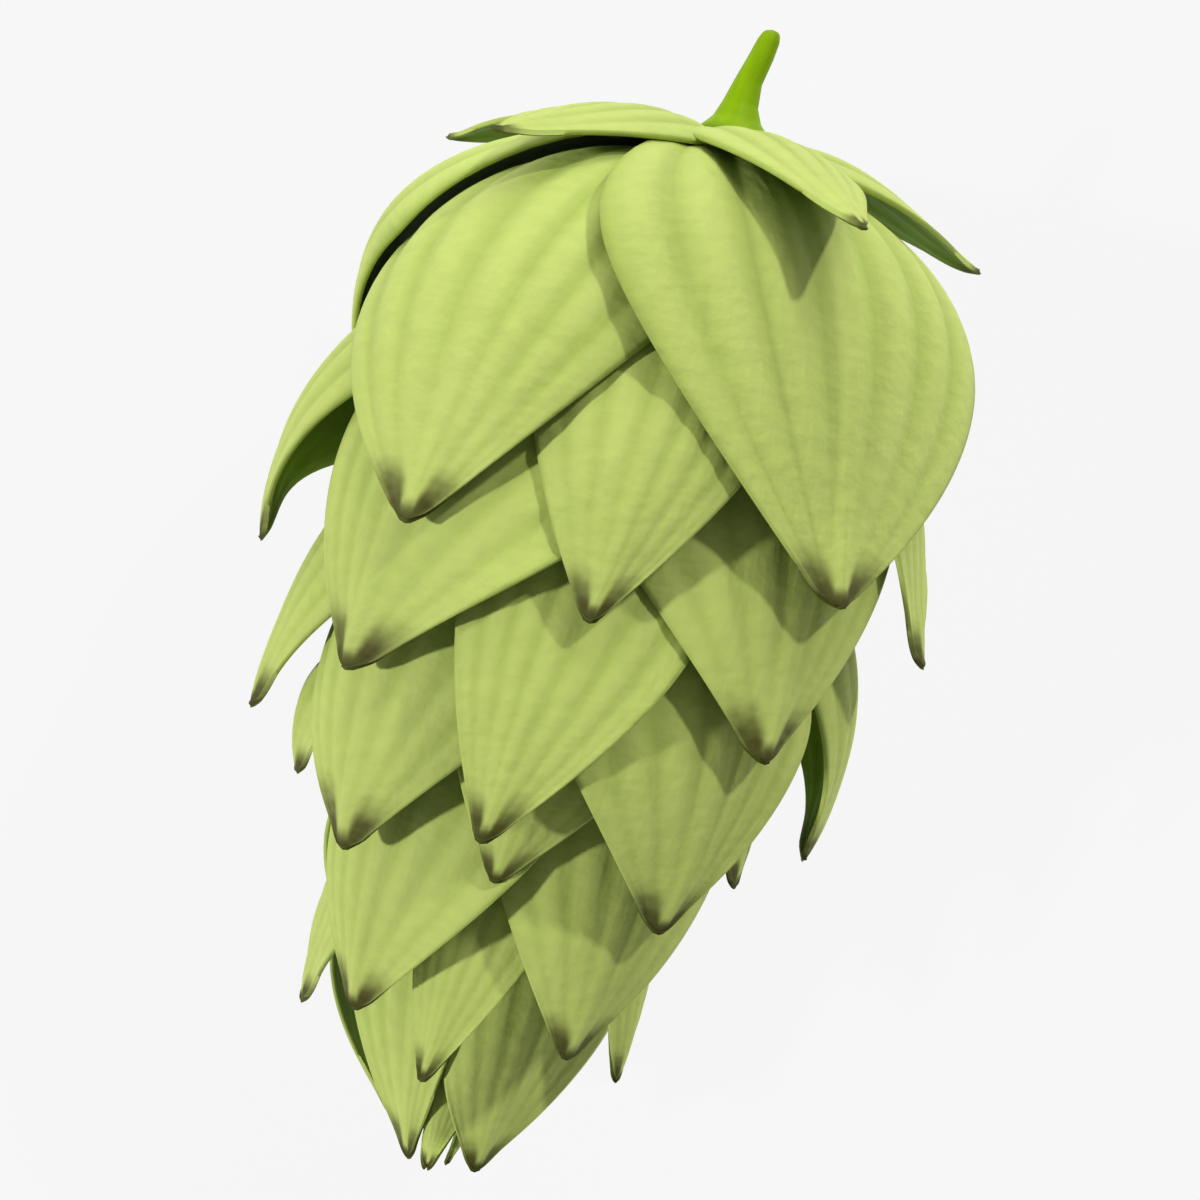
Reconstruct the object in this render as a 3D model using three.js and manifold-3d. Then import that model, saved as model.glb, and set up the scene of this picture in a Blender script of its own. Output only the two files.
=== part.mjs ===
// A picked hop cone lying on a flat surface: five-bract whorls fused to their strig, and the cut stem.
// Millimetres. +Z is up, +Y points to the stem end, and the origin is under the middle of the box.
import * as THREE from "three";
import Module from "manifold-3d";

// The strig, which is the axis that carries the bracts, bows to one side near the stem.
const STRIG_LENGTH = 60;
const STRIG_BOW = 3.33;
const STEM_END = -0.2;
const CORE_TOP = 0.6;
const CORE_SIDES = 10;
const CORE_GIRTH = [
  { down: CORE_TOP, radius: 2.3 },
  { down: 3, radius: 6 },
  { down: 8, radius: 10 },
  { down: 20, radius: 12 },
  { down: 32, radius: 10.5 },
  { down: 42, radius: 7 },
  { down: 51, radius: 3.5 },
  { down: 57, radius: 1.2 },
];

// Lying pose: the tip end dips, and the lowest bracts are pressed flat by the cone's own weight.
const DIP = THREE.MathUtils.degToRad(7);
const AXIS_HEIGHT = 17.8;
const PRESSED_DEPTH = 1.5;

// A bract is a thin ribbed blade that leaves the strig outwards and turns down along the cone.
const THICKNESS = 0.6;
const ROOT_RADIUS = 1.8;
const ROOT_SHARE = 0.4;
const SHOULDER_SHARE = 0.76;
const FLANK_SHARE = 0.88;
const FLANK_DROP = 0.6;
const SHOULDER_DROP = 0.6;
const BASE_POWER = 0.7;
const TIP_POWER = 1;
const SHOWN_START = 0.06;
const SUNK_START = 0.34;
const BLADE_END = 0.98;
const SHOWN_ROWS = 6;
const SUNK_ROWS = 4;
const WIDE_COLUMNS = 6;
const NARROW_COLUMNS = 4;
const WIDE_HALF = 12;
const RIB_HEIGHT = 0.15;
const RIB_WAVES = 3;

// Within a whorl the earlier bract of a pair laps over the later one, which hugs the cone.
const OVER_CURVE = 2;
const UNDER_CURVE = 1.15;
const MARGIN_LIFT = 0.4;

// Whorls from the stem end down: where the tips reach, how far the bracts rise, and their half width.
const WHORLS = [
  { tip: 23.4, reach: 18, girth: 19.6, rise: 22, half: 14, turn: 41, lean: -1.2, count: 5 },
  { tip: 26.3, reach: 18.7, girth: 18.7, rise: 21, half: 9, turn: 74, lean: 0.8, count: 5 },
  { tip: 31.3, reach: 17.7, girth: 17.7, rise: 21, half: 13, turn: 109, lean: 0, count: 5 },
  { tip: 37.5, reach: 16.4, girth: 16.4, rise: 21, half: 8.4, turn: 138, lean: 2.5, count: 5 },
  { tip: 41.5, reach: 14.1, girth: 14.1, rise: 20, half: 11.5, turn: 179, lean: 0, count: 5 },
  { tip: 40.3, reach: 13, girth: 13, rise: 16, half: 6.5, turn: 213, lean: 1, count: 5 },
  { tip: 50.7, reach: 9.9, girth: 9.9, rise: 20, half: 9.5, turn: 249, lean: 0, count: 5 },
  { tip: 53.2, reach: 9.6, girth: 9.6, rise: 18, half: 6, turn: 280, lean: 1, count: 5 },
  { tip: 60.9, reach: 3.1, girth: 6.4, rise: 20, half: 7, turn: 323, lean: 0, count: 5 },
  { tip: 61.2, reach: 1.5, girth: 2.6, rise: 11, half: 2.6, turn: 10, lean: 0, count: 3 },
];

// Five small bracts crown the cone round the stem. Their ring sits a little aside and dips to the front.
const CROWN = { count: 5, turn: 27, half: 5, aside: -0.9, sideTilt: 0.033, frontTilt: 0.081 };
const CROWN_LINE = [
  { out: 2, down: 2.4 },
  { out: 4.6, down: -1.4 },
  { out: 11.5, down: -0.3 },
  { out: 16.2, down: 4.1 },
];

// The cut stem flares at its foot and bends to one side.
const STEM_GAP = 0.3;
const STEM_SIDES = 12;
const STEM_RINGS = [
  { up: 0, aside: 0, radius: 2.1 },
  { up: 0.5, aside: -0.05, radius: 1.6 },
  { up: 1.4, aside: -0.1, radius: 1.05 },
  { up: 2.8, aside: 0.05, radius: 0.78 },
  { up: 4.1, aside: 0.42, radius: 0.7 },
  { up: 5.2, aside: 0.66, radius: 0.58 },
  { up: 5.6, aside: 0.72, radius: 0.32 },
];

const BRACT_GREEN = 0xb4c96a;
const STEM_GREEN = 0x8fb700;

const wasm = await Module();
wasm.setup();

// Sideways offset of the strig at a distance down from the crown.
function strigOffset(down) {
  const left = 1 - THREE.MathUtils.clamp(down / STRIG_LENGTH, STEM_END, 1);
  return STRIG_BOW * left * left;
}

// From the cone's own axes (right, towards the viewer, down the strig) to the lying part.
function lying(right, front, down) {
  return new THREE.Vector3(
    right,
    -down * Math.cos(DIP) - front * Math.sin(DIP),
    AXIS_HEIGHT - down * Math.sin(DIP) + front * Math.cos(DIP),
  );
}

// What would sink below the surface is squeezed into a thin layer above it.
function pressed(point) {
  if (point.z < PRESSED_DEPTH) {
    point.z = PRESSED_DEPTH * Math.exp(point.z / PRESSED_DEPTH - 1);
  }
  return point;
}

// Share of the full half width at a place along the blade, from root (0) to tip (1).
function outline(along) {
  const widest = BASE_POWER / (BASE_POWER + TIP_POWER);
  const full = widest ** BASE_POWER * (1 - widest) ** TIP_POWER;
  return (along ** BASE_POWER * (1 - along) ** TIP_POWER) / full;
}

// Midline of a whorl's bract, as distance out from the strig against distance down.
function bractLine(whorl) {
  const root = whorl.tip - whorl.rise;
  return new THREE.CubicBezierCurve(
    new THREE.Vector2(Math.min(ROOT_RADIUS, ROOT_SHARE * whorl.girth), root),
    new THREE.Vector2(SHOULDER_SHARE * whorl.girth, root + SHOULDER_DROP),
    new THREE.Vector2(FLANK_SHARE * whorl.girth, root + FLANK_DROP * whorl.rise),
    new THREE.Vector2(whorl.reach, whorl.tip),
  );
}

function crownLine() {
  return new THREE.CubicBezierCurve(...CROWN_LINE.map((p) => new THREE.Vector2(p.out, p.down)));
}

// Middle surface of a blade. A margin that laps over is flat, and one that lies under curves inwards.
function bladePoint(bract, along, across) {
  const middle = bract.line.getPoint(along);
  const tangent = bract.line.getTangent(along);
  const share = outline(along);
  const laps = across < 0 ? bract.leftLaps : bract.rightLaps;
  const curve = bract.half * (laps < 0 ? UNDER_CURVE : OVER_CURVE);
  const angle = (bract.half * share * across) / curve;
  const aside = curve * Math.sin(angle) + bract.lean * (1 - along);
  const rib = RIB_HEIGHT * share * Math.cos(RIB_WAVES * Math.PI * across);
  const lift = MARGIN_LIFT * laps * share * across * across;
  const inward = curve * (1 - Math.cos(angle)) - lift - rib;
  const out = middle.x - tangent.y * inward;
  const sin = Math.sin(bract.turn);
  const cos = Math.cos(bract.turn);
  const right = out * sin + aside * cos;
  const front = out * cos - aside * sin;
  const level = middle.y + tangent.x * inward;
  const down = level + bract.sideTilt * right + bract.frontTilt * front;
  return pressed(lying(right + bract.aside + strigOffset(down), front, down));
}

// One closed blade: the same triangles on both faces, joined round the margin.
function blade(bract) {
  const { rows, columns } = bract;
  const middle = [];
  for (let row = 0; row <= rows; row++) {
    const along = THREE.MathUtils.lerp(bract.start, BLADE_END, row / rows);
    for (let column = 0; column <= columns; column++) {
      middle.push(bladePoint(bract, along, (2 * column) / columns - 1));
    }
  }
  const at = (row, column) => row * (columns + 1) + column;
  const outer = [];
  const inner = [];
  for (let row = 0; row <= rows; row++) {
    for (let column = 0; column <= columns; column++) {
      const here = middle[at(row, column)];
      const alongStep = middle[at(Math.min(row + 1, rows), column)]
        .clone()
        .sub(middle[at(Math.max(row - 1, 0), column)]);
      const acrossStep = middle[at(row, Math.min(column + 1, columns))]
        .clone()
        .sub(middle[at(row, Math.max(column - 1, 0))]);
      const half = alongStep.cross(acrossStep).setLength(THICKNESS / 2);
      const face = here.clone().add(half);
      const back = here.clone().sub(half);
      face.z = Math.max(face.z, 0);
      back.z = Math.max(back.z, THICKNESS);
      outer.push(face);
      inner.push(back);
    }
  }
  const faces = [];
  const size = outer.length;
  for (let row = 0; row < rows; row++) {
    for (let column = 0; column < columns; column++) {
      const [a, b] = [at(row, column), at(row, column + 1)];
      const [c, d] = [at(row + 1, column), at(row + 1, column + 1)];
      faces.push(a, c, b, b, c, d);
      faces.push(size + a, size + b, size + c, size + b, size + d, size + c);
    }
  }
  const rim = [];
  for (let column = 0; column < columns; column++) rim.push(at(0, column));
  for (let row = 0; row < rows; row++) rim.push(at(row, columns));
  for (let column = columns; column > 0; column--) rim.push(at(rows, column));
  for (let row = rows; row > 0; row--) rim.push(at(row, 0));
  rim.forEach((from, i) => {
    const to = rim[(i + 1) % rim.length];
    faces.push(from, to, size + from, to, size + to, size + from);
  });
  return solid([...outer, ...inner], faces);
}

// A closed body of round sections, each a ring of points, with a flat cap at both ends.
function ringBody(rings) {
  const sides = rings[0].length;
  const points = rings.flat();
  const faces = [];
  for (let ring = 0; ring + 1 < rings.length; ring++) {
    for (let side = 0; side < sides; side++) {
      const next = (side + 1) % sides;
      const [a, b] = [ring * sides + side, ring * sides + next];
      const [c, d] = [a + sides, b + sides];
      faces.push(a, c, b, b, c, d);
    }
  }
  const last = (rings.length - 1) * sides;
  for (let side = 1; side + 1 < sides; side++) {
    faces.push(0, side, side + 1);
    faces.push(last, last + side + 1, last + side);
  }
  return solid(points, faces);
}

function ringAt(sides, radius, right, down) {
  const ring = [];
  for (let side = 0; side < sides; side++) {
    const turn = (2 * Math.PI * side) / sides;
    ring.push(lying(right + radius * Math.sin(turn), radius * Math.cos(turn), down));
  }
  return ring;
}

function solid(points, faces) {
  const vertProperties = new Float32Array(points.flatMap((p) => p.toArray()));
  const triVerts = new Uint32Array(faces);
  return new wasm.Manifold(new wasm.Mesh({ numProp: 3, vertProperties, triVerts }));
}

function geometryOf(body) {
  const mesh = body.getMesh();
  const geometry = new THREE.BufferGeometry();
  geometry.setAttribute("position", new THREE.BufferAttribute(mesh.vertProperties, 3));
  geometry.setIndex(new THREE.BufferAttribute(mesh.triVerts, 1));
  geometry.computeVertexNormals();
  return geometry;
}

// The bracts of one whorl, in the growth order that decides which margin lies over which.
function whorlBracts(whorl) {
  const order = (place) => (2 * ((place + whorl.count) % whorl.count)) % whorl.count;
  const bracts = [];
  for (let place = 0; place < whorl.count; place++) {
    bracts.push({
      line: bractLine(whorl),
      half: whorl.half,
      lean: whorl.lean,
      aside: 0,
      sideTilt: 0,
      frontTilt: 0,
      turn: THREE.MathUtils.degToRad(whorl.turn + (360 * place) / whorl.count),
      leftLaps: order(place) < order(place - 1) ? 1 : -1,
      rightLaps: order(place) < order(place + 1) ? 1 : -1,
      start: whorl === WHORLS[0] ? SHOWN_START : SUNK_START,
      rows: whorl === WHORLS[0] ? SHOWN_ROWS : SUNK_ROWS,
      columns: whorl.half > WIDE_HALF ? WIDE_COLUMNS : NARROW_COLUMNS,
    });
  }
  return bracts;
}

function crownBracts() {
  const bracts = [];
  for (let place = 0; place < CROWN.count; place++) {
    bracts.push({
      line: crownLine(),
      half: CROWN.half,
      lean: 0,
      aside: CROWN.aside,
      sideTilt: CROWN.sideTilt,
      frontTilt: CROWN.frontTilt,
      turn: THREE.MathUtils.degToRad(CROWN.turn + (360 * place) / CROWN.count),
      leftLaps: 0,
      rightLaps: 0,
      start: SHOWN_START,
      rows: SUNK_ROWS,
      columns: NARROW_COLUMNS,
    });
  }
  return bracts;
}

// Cone: every bract fused at its root to the core. Pockets that the fusing closes are filled.
function coneBody() {
  const core = ringBody(
    CORE_GIRTH.map((g) => ringAt(CORE_SIDES, g.radius, strigOffset(g.down), g.down)),
  );
  const blades = [...WHORLS.flatMap(whorlBracts), ...crownBracts()].map(blade);
  const fused = blades.reduce((body, next) => body.add(next), core);
  const bodies = fused.decompose();
  return bodies.reduce((largest, body) => (body.volume() > largest.volume() ? body : largest));
}

// Stem: a tapered, bent shoot that stands on the top of the strig.
function stemBody() {
  const foot = CORE_TOP - STEM_GAP;
  const rings = STEM_RINGS.map((ring) =>
    ringAt(STEM_SIDES, ring.radius, strigOffset(0) + ring.aside, foot - ring.up),
  );
  return ringBody(rings.reverse());
}

function piece(name, body, colour, roughness) {
  const material = new THREE.MeshStandardMaterial({ color: colour, roughness, metalness: 0 });
  const mesh = new THREE.Mesh(geometryOf(body), material);
  mesh.name = name;
  return mesh;
}

const hopCone = new THREE.Group();
hopCone.add(piece("cone", coneBody(), BRACT_GREEN, 0.7));
hopCone.add(piece("stem", stemBody(), STEM_GREEN, 0.6));

const box = new THREE.Box3().setFromObject(hopCone);
const centre = box.getCenter(new THREE.Vector3());
hopCone.children.forEach((mesh) => mesh.position.set(-centre.x, -centre.y, -box.min.z));

export default hopCone;
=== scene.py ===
"""A picked hop cone lying on a pale floor, seen from straight above with its stem end at the top."""

import math
import random

import bpy
import numpy as np
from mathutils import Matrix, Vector
from mathutils.bvhtree import BVHTree


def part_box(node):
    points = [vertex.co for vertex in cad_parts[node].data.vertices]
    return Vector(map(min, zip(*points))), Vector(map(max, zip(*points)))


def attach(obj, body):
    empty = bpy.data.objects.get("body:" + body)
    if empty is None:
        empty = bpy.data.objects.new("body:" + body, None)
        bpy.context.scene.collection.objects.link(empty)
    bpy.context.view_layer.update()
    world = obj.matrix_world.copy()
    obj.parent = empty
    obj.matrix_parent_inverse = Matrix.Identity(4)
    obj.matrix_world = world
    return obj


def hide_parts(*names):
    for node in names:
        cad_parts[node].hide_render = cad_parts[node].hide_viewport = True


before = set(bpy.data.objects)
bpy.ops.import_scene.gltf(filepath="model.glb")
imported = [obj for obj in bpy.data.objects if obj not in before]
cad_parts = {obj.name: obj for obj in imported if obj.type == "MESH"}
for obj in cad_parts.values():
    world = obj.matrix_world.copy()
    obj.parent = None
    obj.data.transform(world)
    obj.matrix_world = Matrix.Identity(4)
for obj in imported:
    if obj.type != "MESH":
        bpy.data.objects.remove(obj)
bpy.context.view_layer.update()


# Strig: the thin woody axis that carries every bract. It grows as one stalk with a knuckle at each whorl,
# bows to one side under the stem, and lies with its tip end dipped. Lengths are millimetres in every section
# but the last.
MM = 0.001
STRIG_LENGTH = 60.0
STRIG_BOW = 3.33
STRIG_BOW_ABOVE = 0.2
STRIG_TOP = 0.5
STRIG_END = 58.0
STRIG_RADIUS = 1.5
STRIG_TIP_RADIUS = 0.3
STRIG_KNUCKLE = 0.3
STRIG_KNUCKLE_STEP = 5.2
STRIG_KNUCKLE_SHARPNESS = 4
STRIG_ROWS = 120
STRIG_SIDES = 16
DIP = math.radians(7)
AXIS_HEIGHT = 17.8
STEM_FOOT_RADIUS = 2.1
STEM_FOOT_DOWN = 0.3
STRIG_STRAW = "A3A95C"
STRIG_DULL = "6F7A34"
FIBRE_WIDTH = 0.4
FIBRE_STRETCH = 0.15
FIBRE_DEPTH = 0.1
MERGE_DISTANCE = 1e-6
MIX_SHARE, MIX_FIRST, MIX_SECOND, MIX_COLOUR = 0, 6, 7, 2

stem_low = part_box("stem")[0]
crown_x = stem_low.x + (STEM_FOOT_RADIUS - STRIG_BOW) * MM
crown_y = stem_low.y + (STEM_FOOT_DOWN * math.cos(DIP) + STEM_FOOT_RADIUS * math.sin(DIP)) * MM


def strig_offset(down):
    """Sideways offset of the strig at a distance down from the crown."""
    remaining = 1 - np.clip(down / STRIG_LENGTH, -STRIG_BOW_ABOVE, 1)
    return STRIG_BOW * remaining ** 2


def lying(right, front, down):
    """From the cone's own axes (right, towards the eye, down the strig) to the frame, in metres."""
    x = crown_x + right * MM
    y = crown_y - (down * math.cos(DIP) + front * math.sin(DIP)) * MM
    z = (AXIS_HEIGHT - down * math.sin(DIP) + front * math.cos(DIP)) * MM
    return np.stack([x, y, z], axis=-1)


def shaped_grid(name, points):
    """A new grid piece with one vertex for each point, moved to the points."""
    rows, columns = points.shape[:2]
    bpy.ops.mesh.primitive_grid_add(x_subdivisions=columns - 1, y_subdivisions=rows - 1, size=1)
    piece = bpy.context.object
    piece.name = name
    piece.data.name = name
    piece.data.vertices.foreach_set("co", points.reshape(-1))
    return piece


def close_and_smooth():
    """Merges the points that meet on the active piece and shades it smooth."""
    bpy.ops.object.mode_set(mode="EDIT")
    bpy.ops.mesh.select_all(action="SELECT")
    bpy.ops.mesh.remove_doubles(threshold=MERGE_DISTANCE)
    bpy.ops.object.mode_set(mode="OBJECT")
    bpy.ops.object.shade_smooth()


def round_body(name, down, right, radius, sides):
    """A closed body of round sections along the strig: a grid rolled up, with its ends drawn to a point."""
    turn = np.linspace(2 * math.pi, 0, sides + 1)[None, :]
    body = shaped_grid(name, lying(
        right[:, None] + radius[:, None] * np.sin(turn),
        radius[:, None] * np.cos(turn),
        down[:, None],
    ))
    close_and_smooth()
    return body


def linear(hex_colour):
    """An sRGB hex colour as linear RGBA."""
    parts = [int(hex_colour[i:i + 2], 16) / 255 for i in (0, 2, 4)]
    return [p / 12.92 if p <= 0.04045 else ((p + 0.055) / 1.055) ** 2.4 for p in parts] + [1.0]


def new_material(name):
    """A named material with an empty node tree."""
    material = bpy.data.materials.new(name)
    material.use_nodes = True
    material.node_tree.nodes.clear()
    return material


def add_node(material, kind, inputs, **settings):
    """Adds a shader node with its settings. An input is a plain value or another node's output."""
    node = material.node_tree.nodes.new("ShaderNode" + kind)
    for name, value in settings.items():
        setattr(node, name, value)
    for name, value in inputs.items():
        if isinstance(value, bpy.types.NodeSocket):
            material.node_tree.links.new(value, node.inputs[name])
        else:
            node.inputs[name].default_value = value
    return node


# Strig wood: a dry straw-green stalk with fine fibres along it, dull all over.
strig_wood = new_material("strig_wood")
strig_place = add_node(strig_wood, "TexCoord", {})
strig_lengthwise = add_node(strig_wood, "Mapping", {
    "Vector": strig_place.outputs["Object"], "Scale": (1.0, FIBRE_STRETCH, 1.0),
})
strig_fibres = add_node(strig_wood, "TexNoise", {
    "Vector": strig_lengthwise.outputs[0], "Scale": 1 / (FIBRE_WIDTH * MM), "Detail": 3.0,
})
strig_tone = add_node(strig_wood, "Mix", {
    MIX_SHARE: strig_fibres.outputs["Fac"], MIX_FIRST: linear(STRIG_DULL), MIX_SECOND: linear(STRIG_STRAW),
}, data_type="RGBA")
strig_relief = add_node(strig_wood, "Bump", {
    "Height": strig_fibres.outputs["Fac"], "Distance": FIBRE_DEPTH * MM, "Strength": 0.6,
})
strig_shader = add_node(strig_wood, "BsdfPrincipled", {
    "Base Color": strig_tone.outputs[MIX_COLOUR], "Normal": strig_relief.outputs[0], "Roughness": 0.75,
})
add_node(strig_wood, "OutputMaterial", {"Surface": strig_shader.outputs[0]})

strig_down = np.linspace(STRIG_TOP, STRIG_END, STRIG_ROWS + 1)
strig_radius = np.linspace(STRIG_RADIUS, STRIG_TIP_RADIUS, STRIG_ROWS + 1)
strig_radius += STRIG_KNUCKLE * np.cos(2 * math.pi * strig_down / STRIG_KNUCKLE_STEP) ** STRIG_KNUCKLE_SHARPNESS
strig_radius[0] = 0
strig_radius[-1] = 0
strig = round_body("strig", strig_down, strig_offset(strig_down), strig_radius, STRIG_SIDES)
strig.data.materials.append(strig_wood)
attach(strig, "root")
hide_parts("cone")


# Stem: the short cut shoot that the cone hung from, smooth and fresh green. It flares where it meets the
# strig and bends to one side; its end is rounded off.
STEM_UP = [-1.0, 0.0, 0.3, 0.85, 1.7, 3.0, 4.4, 5.4, 5.78, 5.98, 6.03]
STEM_ASIDE = [0.0, 0.0, -0.02, -0.07, -0.1, 0.05, 0.42, 0.63, 0.69, 0.71, 0.72]
STEM_RADIUS = [2.3, 2.2, 1.9, 1.38, 1.02, 0.78, 0.7, 0.62, 0.5, 0.3, 0.0]
STEM_ROWS = 60
STEM_SIDES = 32
STEM_GREEN = "90B600"
STEM_DEEP_GREEN = "7BA000"
STEM_STREAK = 0.5
STEM_STREAK_STRETCH = 0.12
STEM_STREAK_DEPTH = 0.03

# Fresh stem: a waxy green skin, even in colour, with faint streaks along it and a soft dull shine.
fresh_stem = new_material("fresh_stem")
stem_place = add_node(fresh_stem, "TexCoord", {})
stem_lengthwise = add_node(fresh_stem, "Mapping", {
    "Vector": stem_place.outputs["Object"], "Scale": (1.0, STEM_STREAK_STRETCH, 1.0),
})
stem_streaks = add_node(fresh_stem, "TexNoise", {
    "Vector": stem_lengthwise.outputs[0], "Scale": 1 / (STEM_STREAK * MM), "Detail": 2.0,
})
stem_tone = add_node(fresh_stem, "Mix", {
    MIX_SHARE: stem_streaks.outputs["Fac"],
    MIX_FIRST: linear(STEM_DEEP_GREEN),
    MIX_SECOND: linear(STEM_GREEN),
}, data_type="RGBA")
stem_relief = add_node(fresh_stem, "Bump", {
    "Height": stem_streaks.outputs["Fac"], "Distance": STEM_STREAK_DEPTH * MM, "Strength": 0.5,
})
stem_shader = add_node(fresh_stem, "BsdfPrincipled", {
    "Base Color": stem_tone.outputs[MIX_COLOUR], "Normal": stem_relief.outputs[0], "Roughness": 0.55,
    "Specular IOR Level": 0.1,
})
add_node(fresh_stem, "OutputMaterial", {"Surface": stem_shader.outputs[0]})

stem_up = np.linspace(STEM_UP[0], STEM_UP[-1], STEM_ROWS + 1)
stem_radius = np.interp(stem_up, STEM_UP, STEM_RADIUS)
stem_radius[0] = 0
stem_aside = np.interp(stem_up, STEM_UP, STEM_ASIDE)
stem = round_body(
    "stem_shoot",
    STEM_FOOT_DOWN - stem_up[::-1],
    STRIG_BOW + stem_aside[::-1],
    stem_radius[::-1],
    STEM_SIDES,
)
stem.data.materials.append(fresh_stem)
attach(stem, "root")
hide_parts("stem")


# Crown bracts: five small papery bracts that spread round the foot of the stem like a collar. Each is a thin
# ribbed blade that grows from the strig, arches outwards and ends in a small browned tip.
CROWN_BRACTS = [
    {"turn": 26, "reach": 17.9, "tip": 4.3, "shoulder": -1.6, "flank": 0.7, "left": 4.8, "right": 4.4},
    {"turn": 106, "reach": 17.6, "tip": 4.1, "shoulder": -2.5, "flank": 1.1, "left": 5.8, "right": 7.6},
    {"turn": 171, "reach": 16.2, "tip": 4.1, "shoulder": -1.4, "flank": -0.3, "left": 5.0, "right": 5.0},
    {"turn": -115, "reach": 16.7, "tip": 4.3, "shoulder": -1.6, "flank": 1.4, "left": 5.0, "right": 5.0},
    {"turn": -38, "reach": 16.2, "tip": 4.1, "shoulder": -1.6, "flank": 1.4, "left": 5.0, "right": 4.9},
]
CROWN_ASIDE = -0.9
CROWN_SIDE_TILT = 0.033
CROWN_FRONT_TILT = 0.081
CROWN_ROOT = (0.9, 1.6)
CROWN_SHOULDER = 4.6
CROWN_FLANK = 11.5
CROWN_CURVE = 2.0
CROWN_RIBS = 5
CROWN_BROWNED = 1.4
BRACT_ROWS = 52
BRACT_COLUMNS = 42
BRACT_THICKNESS = 0.26
BASE_POWER = 0.7
TIP_POWER = 1.15
APEX_CUT = 0.03
APEX_ROUND = 0.022
ROW_CROWDING = 1.5
MARGIN_LIFT = 0.4
RIB_HEIGHT = 0.3
RIB_FULL_HALF = 14
RIB_ABOVE = 0.4
GROOVE_FADE = 1.4
GROOVE_SHARPNESS = 2.0
KEEL_HEIGHT = 0.45
KEEL_WIDTH = 0.9
KEEL_LENGTH = 4.0
MARGIN_BEAD = 0.08
BEAD_FROM, BEAD_FULL = 0.9, 0.96
BROWN_FULL = 0.15
BROWN_KEEL, BROWN_FLANK = 0.05, 0.45
BROWN_MARGIN, BROWN_MARGIN_FADE = 0.75, 0.25
BROWN_APEX_FROM, BROWN_APEX_FULL = 0.35, 0.05
PRESSED_DEPTH = 1.5
UV_SCALE = 0.01
BRACT_GREEN = "BCCF68"
# Painted shade: the deeper green that the grooves between the ribs are darkened to.
BRACT_GROOVE_SHADE = "93AA42"
BRACT_YELLOW = "CBD877"
BRACT_BROWN = "3E390C"
# Painted shade: the underside colours are darker copies of the leaf green, mixed by the vein pattern.
BRACT_UNDERSIDE_SHADE = "84A03A"
BRACT_UNDERSIDE_DEEP_SHADE = "5F7C22"
TONE_PATCH = 7.0
# How much painted shade is mixed into the grooves.
GROOVE_SHADE_SHARE = 0.5
WRINKLE = 0.9
WRINKLE_STRETCH = 0.7
WRINKLE_DEPTH = 0.13
CREASE = 0.7
CREASE_STRETCH = 0.22
CREASE_SHARE = 0.6
BROWN_RAGGED = 0.5
UNDERSIDE_BROWN = 0.7
UNDERSIDE_VEIN_DEPTH = 0.08
SEED = 11

dice = random.Random(SEED)


def bezier(line, along):
    """Points and unit directions on a cubic curve with four (out, down) control points."""
    p = np.array(line)
    t = along[:, None]
    u = 1 - t
    point = u ** 3 * p[0] + 3 * u ** 2 * t * p[1] + 3 * u * t ** 2 * p[2] + t ** 3 * p[3]
    way = u ** 2 * (p[1] - p[0]) + 2 * u * t * (p[2] - p[1]) + t ** 2 * (p[3] - p[2])
    return point, way / np.linalg.norm(way, axis=1)[:, None]


def margin_share(along):
    """Share of the full half width along the blade, from the root (0) to the rounded apex (1)."""
    reach = along * (1 - APEX_CUT)
    widest = BASE_POWER / (BASE_POWER + TIP_POWER)
    full = widest ** BASE_POWER * (1 - widest) ** TIP_POWER
    taper = reach ** BASE_POWER * (1 - reach) ** TIP_POWER / full
    rounding = np.clip((along - 1 + APEX_ROUND) / APEX_ROUND, 0, 1)
    return taper * np.sqrt(1 - rounding ** 2)


def smooth_step(low, high, value):
    """0 below low, 1 above high, with a smooth rise between, also when low is above high."""
    share = np.clip((value - low) / (high - low), 0, 1)
    return share * share * (3 - 2 * share)


def tip_browning(reach, to_apex, across):
    """How brown a blade is: the apex, and an arm up each side of the keel that fades at the margin."""
    aside = np.abs(across)
    arms = smooth_step(reach, BROWN_FULL * reach, to_apex) * smooth_step(BROWN_KEEL, BROWN_FLANK, aside)
    arms = arms * (1 - BROWN_MARGIN_FADE * smooth_step(BROWN_MARGIN, 1, aside))
    apex = smooth_step(BROWN_APEX_FROM * reach, BROWN_APEX_FULL * reach, to_apex)
    return np.maximum(arms, apex)


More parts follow.
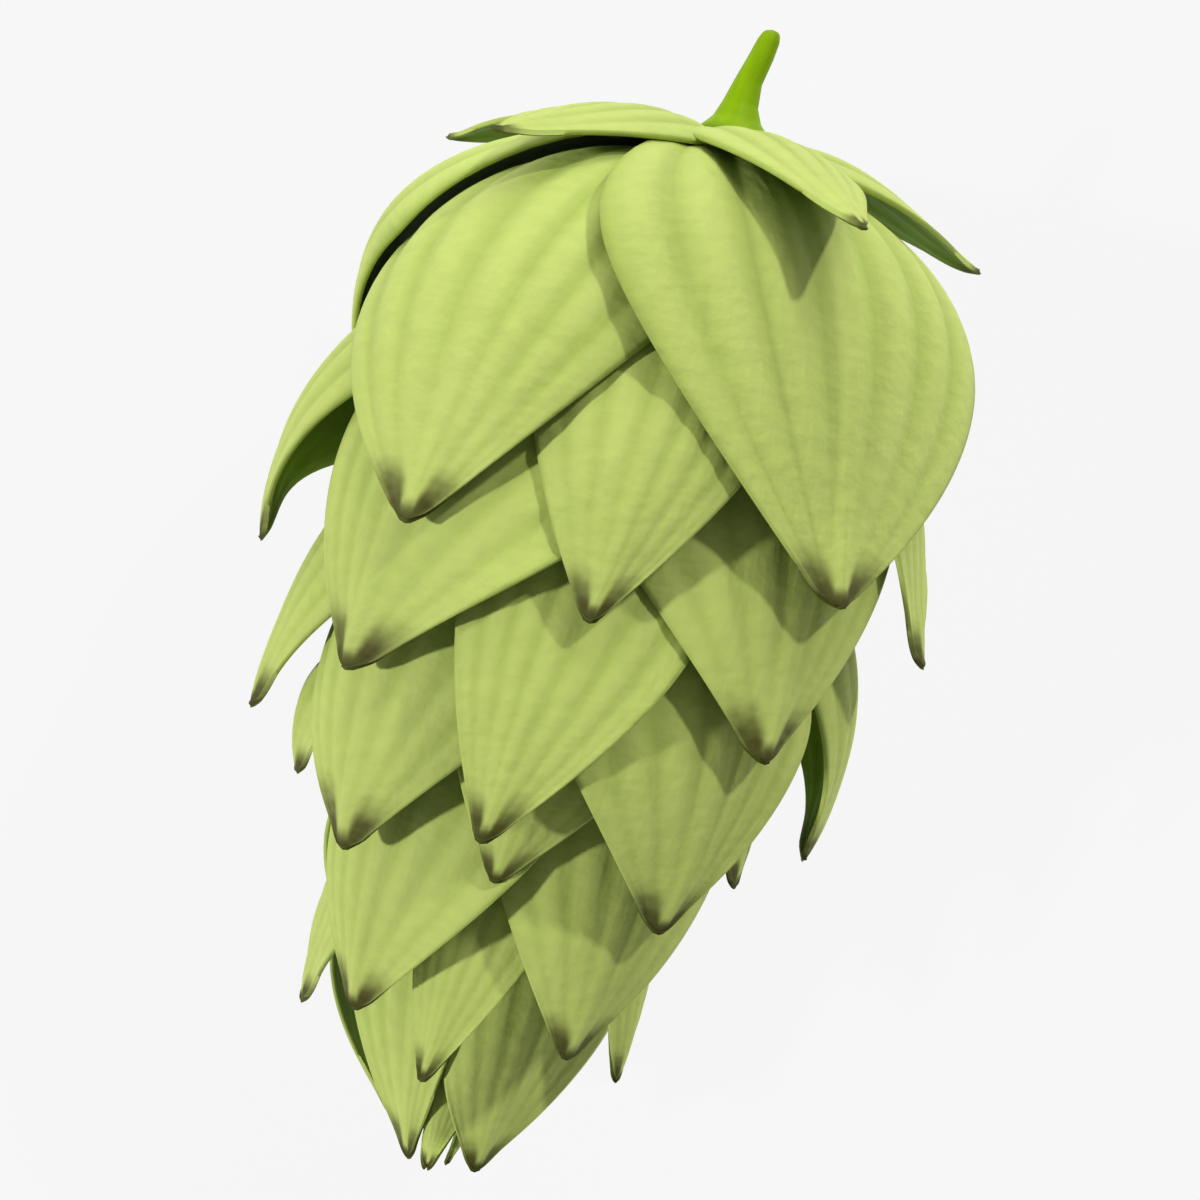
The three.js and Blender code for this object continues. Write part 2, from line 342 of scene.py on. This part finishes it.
def bract_sheet(bract):
    """The outer face of one bract: its points in the cone's axes, and what its colour follows."""
    along = 1 - (1 - np.linspace(0, 1, BRACT_ROWS + 1)) ** ROW_CROWDING
    across = np.linspace(1, -1, BRACT_COLUMNS + 1)[None, :]
    middle, way = bezier(bract["line"], along)
    steps = np.linalg.norm(np.diff(middle, axis=0), axis=1)
    length = np.concatenate([[0], np.cumsum(steps)])[:, None]
    to_apex = length[-1] - length
    share = margin_share(along)[:, None]
    half = np.where(across < 0, bract["left"], bract["right"])
    laps = np.where(across < 0, bract["left_laps"], bract["right_laps"])
    curve = half * np.where(across < 0, bract["left_curve"], bract["right_curve"])
    angle = half * share * across / curve
    from_middle = curve * np.sin(angle)
    fade = np.minimum(share, 1) ** GROOVE_FADE
    groove = (0.5 - 0.5 * np.cos(bract["ribs"] * math.pi * across)) ** GROOVE_SHARPNESS
    rib = RIB_HEIGHT * half / RIB_FULL_HALF * fade * (RIB_ABOVE - groove)
    keel = KEEL_HEIGHT * np.exp(-(from_middle / KEEL_WIDTH) ** 2 - (to_apex / KEEL_LENGTH) ** 2)
    bead = MARGIN_BEAD * smooth_step(BEAD_FROM, BEAD_FULL, np.abs(across))
    lift = MARGIN_LIFT * laps * share * across ** 2
    inward = curve * (1 - np.cos(angle)) - lift - rib - keel - bead
    out = middle[:, :1] - way[:, 1:] * inward
    level = middle[:, 1:] + way[:, :1] * inward
    aside = from_middle + bract["lean"] * (1 - along[:, None])
    turn = math.radians(bract["turn"])
    right = out * math.sin(turn) + aside * math.cos(turn)
    front = out * math.cos(turn) - aside * math.sin(turn)
    down = level + bract["side_tilt"] * right + bract["front_tilt"] * front
    return {
        "points": np.stack([right, front, down], axis=-1),
        "groove": groove * fade,
        "browned": tip_browning(bract["browned"], to_apex, across),
        "flat": np.stack([from_middle, np.broadcast_to(length, right.shape)], axis=-1),
    }


def bract_piece(name, bract, sheet):
    """One finished bract: the sheet laid down, pressed flat at the floor and given its thickness."""
    points = sheet["points"]
    right = points[..., 0] + bract["aside"] + strig_offset(points[..., 2])
    place = lying(right, points[..., 1], points[..., 2])
    depth = PRESSED_DEPTH * MM
    height = np.minimum(place[..., 2], depth)
    place[..., 2] += depth * np.exp(height / depth - 1) - height
    piece = shaped_grid(name, place)
    # The third draw is spare: it keeps the later draws in their order.
    across_shift, along_shift, _ = (dice.random() for _ in range(3))
    flat = sheet["flat"].reshape(-1, 2) * UV_SCALE + (across_shift, along_shift)
    corners = np.empty(len(piece.data.loops), dtype=np.int32)
    piece.data.loops.foreach_get("vertex_index", corners)
    piece.data.uv_layers[0].data.foreach_set("uv", flat[corners].astype(np.float32).reshape(-1))
    for label in ("groove", "browned"):
        layer = piece.data.attributes.new(label, "FLOAT", "POINT")
        layer.data.foreach_set("value", sheet[label].astype(np.float32).reshape(-1))
    close_and_smooth()
    piece.data.materials.append(bract_face)
    piece.data.materials.append(bract_underside)
    bpy.ops.object.modifier_add(type="SOLIDIFY")
    wall = piece.modifiers[-1]
    wall.thickness = BRACT_THICKNESS * MM
    wall.offset = -1
    wall.material_offset = 1
    bpy.ops.object.modifier_apply(modifier=wall.name)
    for vertex in piece.data.vertices:
        vertex.co.z = max(vertex.co.z, 0)
    return piece


def joined(pieces, name):
    """Several bracts of one whorl as one piece."""
    bpy.ops.object.select_all(action="DESELECT")
    for piece in pieces:
        piece.select_set(True)
    bpy.context.view_layer.objects.active = pieces[0]
    bpy.ops.object.join()
    pieces[0].name = name
    pieces[0].data.name = name
    bpy.ops.object.select_all(action="DESELECT")
    return pieces[0]


# Bract face: a matte, papery, pale yellow-green leaf. The grooves between its ribs carry painted shade, a
# little deeper green, a fine crumple catches the light, and the tip is dried to a soft brown.
bract_face = new_material("bract_face")
face_flat = add_node(bract_face, "UVMap", {}, uv_map="UVMap")
face_groove = add_node(bract_face, "Attribute", {}, attribute_name="groove")
face_browned = add_node(bract_face, "Attribute", {}, attribute_name="browned")
# Painted shade in the grooves: their colour is mixed towards a deeper green, on top of their real relief.
groove_painted_shade = add_node(bract_face, "Math", {
    0: face_groove.outputs["Fac"], 1: GROOVE_SHADE_SHARE,
}, operation="MULTIPLY")
patches = add_node(bract_face, "TexNoise", {
    "Vector": face_flat.outputs[0], "Scale": 1 / (TONE_PATCH * UV_SCALE), "Detail": 2.0,
})
crumple_stretch = add_node(bract_face, "Mapping", {
    "Vector": face_flat.outputs[0], "Scale": (WRINKLE_STRETCH, 1.0, 1.0),
})
crumple = add_node(bract_face, "TexNoise", {
    "Vector": crumple_stretch.outputs[0], "Scale": 1 / (WRINKLE * UV_SCALE), "Detail": 2.0, "Roughness": 0.5,
})
crease_stretch = add_node(bract_face, "Mapping", {
    "Vector": face_flat.outputs[0], "Scale": (1.0, CREASE_STRETCH, 1.0),
})
creases = add_node(bract_face, "TexNoise", {
    "Vector": crease_stretch.outputs[0], "Scale": 1 / (CREASE * UV_SCALE), "Detail": 3.0,
})
leaf_tone = add_node(bract_face, "Mix", {
    MIX_SHARE: patches.outputs["Fac"], MIX_FIRST: linear(BRACT_GREEN), MIX_SECOND: linear(BRACT_YELLOW),
}, data_type="RGBA")
groove_shaded = add_node(bract_face, "Mix", {
    MIX_SHARE: groove_painted_shade.outputs[0],
    MIX_FIRST: leaf_tone.outputs[MIX_COLOUR],
    MIX_SECOND: linear(BRACT_GROOVE_SHADE),
}, data_type="RGBA")
mottle = add_node(bract_face, "MapRange", {
    "Value": crumple.outputs["Fac"], "From Min": 0.3, "From Max": 0.7, "To Min": 0.96, "To Max": 1.03,
})
mottled = add_node(bract_face, "Mix", {
    MIX_SHARE: 1.0, MIX_FIRST: groove_shaded.outputs[MIX_COLOUR], MIX_SECOND: mottle.outputs[0],
}, data_type="RGBA", blend_type="MULTIPLY")
brown_edge = add_node(bract_face, "Math", {
    0: crumple.outputs["Fac"], 1: BROWN_RAGGED, 2: -BROWN_RAGGED / 2,
}, operation="MULTIPLY_ADD")
brown_spread = add_node(bract_face, "Math", {
    0: face_browned.outputs["Fac"], 1: brown_edge.outputs[0],
}, operation="ADD")
brown_share = add_node(bract_face, "MapRange", {
    "Value": brown_spread.outputs[0], "From Min": 0.05, "From Max": 1.1, "To Max": 0.95,
}, interpolation_type="SMOOTHSTEP")
browned = add_node(bract_face, "Mix", {
    MIX_SHARE: brown_share.outputs[0],
    MIX_FIRST: mottled.outputs[MIX_COLOUR],
    MIX_SECOND: linear(BRACT_BROWN),
}, data_type="RGBA")
relief = add_node(bract_face, "Math", {
    0: creases.outputs["Fac"], 1: CREASE_SHARE, 2: crumple.outputs["Fac"],
}, operation="MULTIPLY_ADD")
face_relief = add_node(bract_face, "Bump", {
    "Height": relief.outputs[0], "Distance": WRINKLE_DEPTH * MM, "Strength": 0.75,
})
dullness = add_node(bract_face, "MapRange", {
    "Value": crumple.outputs["Fac"], "To Min": 0.6, "To Max": 0.72,
})
face_shader = add_node(bract_face, "BsdfPrincipled", {
    "Base Color": browned.outputs[MIX_COLOUR], "Roughness": dullness.outputs[0],
    "Normal": face_relief.outputs[0], "Specular IOR Level": 0.2,
})
add_node(bract_face, "OutputMaterial", {"Surface": face_shader.outputs[0]})

# Bract underside: the inner face of the same leaf, painted a deeper green as painted shade, veined, matte.
bract_underside = new_material("bract_underside")
under_flat = add_node(bract_underside, "UVMap", {}, uv_map="UVMap")
under_stretch = add_node(bract_underside, "Mapping", {
    "Vector": under_flat.outputs[0], "Scale": (1.0, CREASE_STRETCH, 1.0),
})
under_veins = add_node(bract_underside, "TexNoise", {
    "Vector": under_stretch.outputs[0], "Scale": 1 / (CREASE * UV_SCALE), "Detail": 3.0,
})
# Painted shade: the underside takes darkened copies of the leaf green, with veins between the two.
under_shaded_tone = add_node(bract_underside, "Mix", {
    MIX_SHARE: under_veins.outputs["Fac"],
    MIX_FIRST: linear(BRACT_UNDERSIDE_DEEP_SHADE),
    MIX_SECOND: linear(BRACT_UNDERSIDE_SHADE),
}, data_type="RGBA")
under_browned = add_node(bract_underside, "Attribute", {}, attribute_name="browned")
under_brown_share = add_node(bract_underside, "Math", {
    0: under_browned.outputs["Fac"], 1: UNDERSIDE_BROWN,
}, operation="MULTIPLY")
under_colour = add_node(bract_underside, "Mix", {
    MIX_SHARE: under_brown_share.outputs[0],
    MIX_FIRST: under_shaded_tone.outputs[MIX_COLOUR],
    MIX_SECOND: linear(BRACT_BROWN),
}, data_type="RGBA")
under_relief = add_node(bract_underside, "Bump", {
    "Height": under_veins.outputs["Fac"], "Distance": UNDERSIDE_VEIN_DEPTH * MM, "Strength": 0.6,
})
under_shader = add_node(bract_underside, "BsdfPrincipled", {
    "Base Color": under_colour.outputs[MIX_COLOUR], "Roughness": 0.7, "Normal": under_relief.outputs[0],
    "Specular IOR Level": 0.2,
})
add_node(bract_underside, "OutputMaterial", {"Surface": under_shader.outputs[0]})

crown_pieces = []
for own in CROWN_BRACTS:
    line = [
        CROWN_ROOT, (CROWN_SHOULDER, own["shoulder"]), (CROWN_FLANK, own["flank"]), (own["reach"], own["tip"]),
    ]
    bract = {
        "line": line, "left": own["left"], "right": own["right"], "lean": 0, "aside": CROWN_ASIDE,
        "side_tilt": CROWN_SIDE_TILT, "front_tilt": CROWN_FRONT_TILT, "turn": own["turn"],
        "left_laps": 0, "right_laps": 0, "left_curve": CROWN_CURVE, "right_curve": CROWN_CURVE,
        "ribs": CROWN_RIBS, "browned": CROWN_BROWNED,
    }
    crown_pieces.append(bract_piece("crown_bract", bract, bract_sheet(bract)))
crown = joined(crown_pieces, "bracts_crown")
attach(crown, "root")
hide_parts("cone")


# Whorl bracts: the papery scales of the cone, five to a whorl, each whorl lapping over the next one down and
# every second whorl slimmer, all browned at the tips. In WHORLS, tip and reach place the tip, rise and girth
# the root and the flank, half is the half width, and own holds what single bracts have of their own.
WHORLS = [
    {"tip": 23.4, "reach": 18.0, "girth": 19.6, "rise": 22, "half": 14.0, "turn": 41, "lean": -1.2, "count": 5,
     "own": {
         0: {"turn": 37.7, "tip": 23.1, "reach": 19.0, "girth": 18.2, "rise": 21.6, "left": 13.5,
             "right": 14.0, "lean": -1.0, "left_curve": 2.2, "right_curve": 2.01},
         1: {"turn": 118, "reach": 16.0, "girth": 17.6},
         3: {"turn": -110.5, "tip": 23.7, "reach": 12.1, "girth": 20.3, "rise": 22.4, "left": 14.0,
             "right": 12.8, "lean": 2.4, "left_curve": 2.0, "right_curve": 1.05, "shoulder": 1.0, "flank": 1.0},
         4: {"turn": -27.4, "tip": 23.4, "reach": 19.5, "girth": 21.2, "rise": 21.3, "left": 14.3,
             "right": 8.9, "lean": 0.0, "left_curve": 1.0, "right_curve": 1.15, "shoulder": 0.92},
     }},
    {"tip": 26.3, "reach": 18.7, "girth": 18.7, "rise": 21, "half": 9.0, "turn": 74, "lean": 0.8, "count": 5,
     "own": {
         0: {"turn": 70.5, "tip": 26.1, "reach": 19.1, "girth": 18.3, "rise": 21.5, "left": 9.1,
             "right": 9.0, "lean": 0.9, "left_curve": 2.11, "right_curve": 2.1},
         3: {"turn": -83.5, "tip": 27.7, "reach": 18.3, "girth": 22.3, "rise": 19.5, "left": 9.6,
             "right": 10.3, "lean": 0.9, "left_curve": 0.6, "right_curve": 1.21},
         4: {"turn": 1.5, "tip": 25.9, "reach": 17.9, "girth": 21.5, "rise": 22, "left": 8.7,
             "right": 7.4, "lean": 1.7, "left_curve": 1.21, "right_curve": 1.42},
     }},
    {"tip": 31.3, "reach": 17.7, "girth": 17.7, "rise": 21, "half": 13.0, "turn": 109, "lean": 0.0, "count": 5,
     "own": {
         0: {"turn": 116, "reach": 15.0, "girth": 16.5},
         2: {"turn": -116, "reach": 15.0, "girth": 16.5},
         3: {"turn": -36.2, "tip": 31.4, "reach": 17.3, "girth": 21.6, "rise": 22.5, "left": 8.4,
             "right": 14.5, "lean": 2.5, "left_curve": 1.76, "right_curve": 2.12},
         4: {"turn": 36.8, "tip": 31.4, "reach": 17.6, "girth": 19.7, "rise": 22.0, "left": 12.9,
             "right": 9.1, "lean": 0.6, "left_curve": 0.97, "right_curve": 2.07},
     }},
    {"tip": 37.5, "reach": 16.4, "girth": 16.4, "rise": 21, "half": 8.4, "turn": 138, "lean": 2.5, "count": 5,
     "own": {
         2: {"turn": -75.0, "tip": 36.7, "reach": 16.5, "girth": 18.8, "rise": 20.6, "left": 8.5,
             "right": 8.8, "lean": 2.5, "left_curve": 1.17, "right_curve": 1.1},
         3: {"turn": -5.5, "tip": 37.7, "reach": 16.6, "girth": 20.8, "rise": 24, "left": 6.7,
             "right": 9.0, "lean": 2.4, "left_curve": 2.14, "right_curve": 2.04},
         4: {"turn": 84.8, "tip": 38.9, "reach": 15.9, "girth": 20.5, "rise": 20.2, "left": 7.7,
             "right": 12.8, "lean": 2.3, "left_curve": 1.2, "right_curve": 0.6},
     }},
    {"tip": 41.5, "reach": 14.1, "girth": 14.1, "rise": 20, "half": 11.5, "turn": 179, "lean": 0.0, "count": 5,
     "own": {
         1: {"turn": -116, "reach": 12.2, "girth": 13.6},
         2: {"turn": -35.3, "tip": 41.0, "reach": 14.5, "girth": 19.3, "rise": 22.0, "left": 11.3,
             "right": 10.9, "lean": 0.3, "left_curve": 0.86, "right_curve": 1.12},
         3: {"turn": 34.3, "tip": 41.6, "reach": 14.4, "girth": 19.9, "rise": 22.0, "left": 12.1,
             "right": 7.4, "lean": -0.4, "left_curve": 1.63, "right_curve": 2.44},
         4: {"turn": 114, "reach": 12.2, "girth": 13.6},
     }},
    {"tip": 40.3, "reach": 13.0, "girth": 13.0, "rise": 16, "half": 6.5, "turn": 213, "lean": 1.0, "count": 5,
     "own": {
         1: {"turn": -67.9, "tip": 39.4, "reach": 13.5, "girth": 17.8, "rise": 14.0, "left": 7.0,
             "right": 9.1, "lean": 1.1, "left_curve": 1.28, "right_curve": 1.76},
         2: {"turn": -2.3, "tip": 40.5, "reach": 13.1, "girth": 17.8, "rise": 18.0, "left": 6.9,
             "right": 8.2, "lean": 1.5, "left_curve": 1.33, "right_curve": 1.28},
         3: {"turn": 65.9, "tip": 40.3, "reach": 13.0, "girth": 14.8, "rise": 15.8, "left": 7.0,
             "right": 7.1, "lean": 1.2, "left_curve": 1.98, "right_curve": 2.11},
     }},
    {"tip": 50.7, "reach": 9.9, "girth": 9.9, "rise": 20, "half": 9.5, "turn": 249, "lean": 0.0, "count": 5,
     "own": {
         0: {"turn": -116, "reach": 10.2, "girth": 11.4},
         1: {"turn": -34.6, "tip": 50.4, "reach": 10.8, "girth": 15.3, "rise": 22.0, "left": 8.7,
             "right": 10.7, "lean": 0.1, "left_curve": 1.03, "right_curve": 2.31},
         2: {"turn": 29.1, "tip": 50.2, "reach": 11.0, "girth": 15.9, "rise": 22.0, "left": 9.5,
             "right": 9.1, "lean": 0.2, "left_curve": 0.75, "right_curve": 1.38},
         3: {"turn": 116, "reach": 8.6, "girth": 9.6},
     }},
    {"tip": 53.2, "reach": 9.6, "girth": 9.6, "rise": 18, "half": 6.0, "turn": 280, "lean": 1.0, "count": 5,
     "own": {
         0: {"turn": -73.2, "tip": 53.2, "reach": 9.9, "girth": 12.2, "rise": 16.9, "left": 6.4,
             "right": 7.6, "lean": 1.3, "left_curve": 2.07, "right_curve": 1.81},
         1: {"turn": -10.5, "tip": 53.3, "reach": 9.5, "girth": 11.9, "rise": 20, "left": 4.7,
             "right": 5.3, "lean": 1.9, "left_curve": 1.27, "right_curve": 2.07},
         2: {"turn": 64.2, "tip": 53.2, "reach": 9.4, "girth": 11.5, "rise": 17.9, "left": 5.1,
             "right": 6.3, "lean": 1.1, "left_curve": 1.21, "right_curve": 1.23},
         4: {"turn": -130, "tip": 61.5, "reach": 4.1, "girth": 14.9, "rise": 20.0, "left": 6.0,
             "right": 6.6, "lean": 0.0, "left_curve": 1.0, "right_curve": 1.0, "flank": 0.98},
     }},
    {"tip": 60.9, "reach": 3.1, "girth": 6.4, "rise": 20, "half": 7.0, "turn": 323, "lean": 0.0, "count": 5,
     "own": {
         0: {"turn": -36.4, "tip": 61.2, "reach": 2.8, "left": 8.9, "right": 4.1,
             "lean": -1.8, "left_curve": 2.14, "right_curve": 2.04},
         1: {"turn": 34.2, "tip": 60.8, "reach": 3.5, "left": 7.5, "right": 9.1,
             "lean": 1.0, "left_curve": 1.17, "right_curve": 2.35},
     }},
    {"tip": 61.2, "reach": 1.5, "girth": 2.6, "rise": 11, "half": 2.6, "turn": 10, "lean": 0.0, "count": 3,
     "own": {
         0: {"turn": -8, "tip": 61.0, "reach": 3.9, "girth": 2.9, "rise": 10.7, "left": 3.4,
             "right": 2.5, "lean": -0.2, "left_curve": 2.0, "right_curve": 2.0},
         1: {"turn": 95, "tip": 62.3, "reach": 0.1},
         2: {"tip": 60.0},
     }},
]
ROOT_RADIUS = 1.8
ROOT_SHARE = 0.4
SHOULDER_SHARE = 0.8
FLANK_SHARE = 0.92
FLANK_DROP = 0.6
SHOULDER_DROP = 0.6
OVER_CURVE = 2.0
UNDER_CURVE = 1.15
LAP_STEP = 2
WHORL_RIBS = 7
TIP_BROWNED = 4.3
BROWNED_SHARE = 0.4
BROWNED_RANGE = (0.85, 1.15)
TUCK_CLEARANCE = 0.6
TUCK_START = 0.1
TUCK_SPREADS = 40


def tucked(sheet, upper_points, upper_faces):
    """Draws a bract in towards the strig where it would come through a bract that lies over it."""
    if not upper_faces:
        return
    tree = BVHTree.FromPolygons(upper_points, upper_faces)
    points = sheet["points"]
    radius = np.hypot(points[..., 0], points[..., 1])
    excess = np.zeros_like(radius)
    for row in range(int(TUCK_START * BRACT_ROWS), BRACT_ROWS + 1):
        for column in range(BRACT_COLUMNS + 1):
            right, front, down = points[row, column]
            near = radius[row, column]
            ray = Vector((right / near, front / near, 0))
            met = tree.ray_cast(Vector((0, 0, down)), ray, near + TUCK_CLEARANCE)[3]
            if met is not None:
                excess[row, column] = near + TUCK_CLEARANCE - met
    draw = excess
    for _ in range(TUCK_SPREADS):
        edge = np.pad(draw, 1, mode="edge")
        around = (edge[:-2, 1:-1] + edge[2:, 1:-1] + edge[1:-1, :-2] + edge[1:-1, 2:]) / 4
        draw = np.maximum(excess, around)
    points[..., :2] *= ((radius - draw) / radius)[..., None]


def grid_faces(first):
    """The faces of one bract's grid, for vertices numbered from first."""
    wide = BRACT_COLUMNS + 1
    return [
        (first + row * wide + column, first + row * wide + column + 1,
         first + (row + 1) * wide + column + 1, first + (row + 1) * wide + column)
        for row in range(BRACT_ROWS) for column in range(BRACT_COLUMNS)
    ]


upper_points = []
upper_faces = []
for number, whorl in enumerate(WHORLS):
    count = whorl["count"]
    own_values = [whorl["own"].get(place, {}) for place in range(count)]
    order = [LAP_STEP * place % count for place in range(count)]
    pieces = []
    for place in sorted(range(count), key=lambda place: ("left" not in own_values[place], order[place])):
        left_laps = 1 if order[place] < order[place - 1] else -1
        right_laps = 1 if order[place] < order[(place + 1) % count] else -1
        bract = {
            **whorl, "turn": whorl["turn"] + 360 * place / count, "left": whorl["half"], "right": whorl["half"],
            "aside": 0, "side_tilt": 0, "front_tilt": 0, "left_laps": left_laps, "right_laps": right_laps,
            "left_curve": OVER_CURVE if left_laps > 0 else UNDER_CURVE,
            "right_curve": OVER_CURVE if right_laps > 0 else UNDER_CURVE,
            "shoulder": SHOULDER_SHARE, "flank": FLANK_SHARE, "ribs": WHORL_RIBS,
            "browned": min(TIP_BROWNED, BROWNED_SHARE * whorl["half"]) * dice.uniform(*BROWNED_RANGE),
            **own_values[place],
        }
        root = bract["tip"] - bract["rise"]
        bract["line"] = [
            (min(ROOT_RADIUS, ROOT_SHARE * bract["girth"]), root),
            (bract["shoulder"] * bract["girth"], root + SHOULDER_DROP),
            (bract["flank"] * bract["girth"], root + FLANK_DROP * bract["rise"]),
            (bract["reach"], bract["tip"]),
        ]
        sheet = bract_sheet(bract)
        tucked(sheet, upper_points, upper_faces)
        upper_faces.extend(grid_faces(len(upper_points)))
        upper_points.extend(Vector(point) for point in sheet["points"].reshape(-1, 3))
        pieces.append(bract_piece("bract", bract, sheet))
    bracts = joined(pieces, f"bracts_whorl_{number + 1:02d}")
    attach(bracts, "root")
    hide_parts("cone")


# Floor, light and camera: a plain pale floor, a key light, a second light from the other side, a broad soft
# light over the stem end and an even fill. The camera looks straight down, turned so that the cone leans as in
# the photo. Lengths are metres here.
FLOOR_SIZE = 4.0
FLOOR_WHITE = "F7F7F7"
FLOOR_GREY = "383838"
FLOOR_GLOW = 0.96
FILL_WHITE = "FFFFFF"
FILL_STRENGTH = 0.2
LIGHTS = [
    {"name": "key_light", "azimuth": 57, "height": 36, "strength": 1.25, "angle": 4},
    {"name": "second_light", "azimuth": 193, "height": 38, "strength": 1.9, "angle": 4},
    {"name": "top_light", "azimuth": 88, "height": 15, "strength": 1.35, "angle": 40},
]
CAMERA_AT = (0.00032, 0.00067, 0.1103)
CAMERA_ROLL = math.radians(12.95)
CAMERA_LENS = 50
CAMERA_SENSOR = 36
CAMERA_NEAR = 0.01

# Matte paper floor: even, pale and unmarked; it glows a little so that the shadow on it stays faint.
floor_paper = new_material("floor_paper")
floor_shader = add_node(floor_paper, "BsdfPrincipled", {
    "Base Color": linear(FLOOR_GREY), "Roughness": 0.9, "Specular IOR Level": 0.0,
    "Emission Color": linear(FLOOR_WHITE), "Emission Strength": FLOOR_GLOW,
})
add_node(floor_paper, "OutputMaterial", {"Surface": floor_shader.outputs[0]})
bpy.ops.mesh.primitive_plane_add(size=FLOOR_SIZE)
floor = bpy.context.object
floor.name = "floor"
floor.data.materials.append(floor_paper)

world = bpy.data.worlds.new("studio_fill")
world.use_nodes = True
fill = world.node_tree.nodes["Background"]
fill.inputs["Color"].default_value = linear(FILL_WHITE)
fill.inputs["Strength"].default_value = FILL_STRENGTH
bpy.context.scene.world = world

for lamp in LIGHTS:
    azimuth, height = math.radians(lamp["azimuth"]), math.radians(lamp["height"])
    towards = Vector((
        math.cos(height) * math.cos(azimuth), math.cos(height) * math.sin(azimuth), math.sin(height),
    ))
    bpy.ops.object.light_add(type="SUN")
    light = bpy.context.object
    light.name = lamp["name"]
    light.rotation_euler = towards.to_track_quat("Z", "Y").to_euler()
    light.data.energy = lamp["strength"]
    light.data.angle = math.radians(lamp["angle"])

bpy.ops.object.camera_add(location=CAMERA_AT, rotation=(0, 0, CAMERA_ROLL))
camera = bpy.context.object
camera.data.lens = CAMERA_LENS
camera.data.sensor_width = CAMERA_SENSOR
camera.data.clip_start = CAMERA_NEAR
bpy.context.scene.camera = camera
bpy.context.scene.view_settings.view_transform = "Standard"
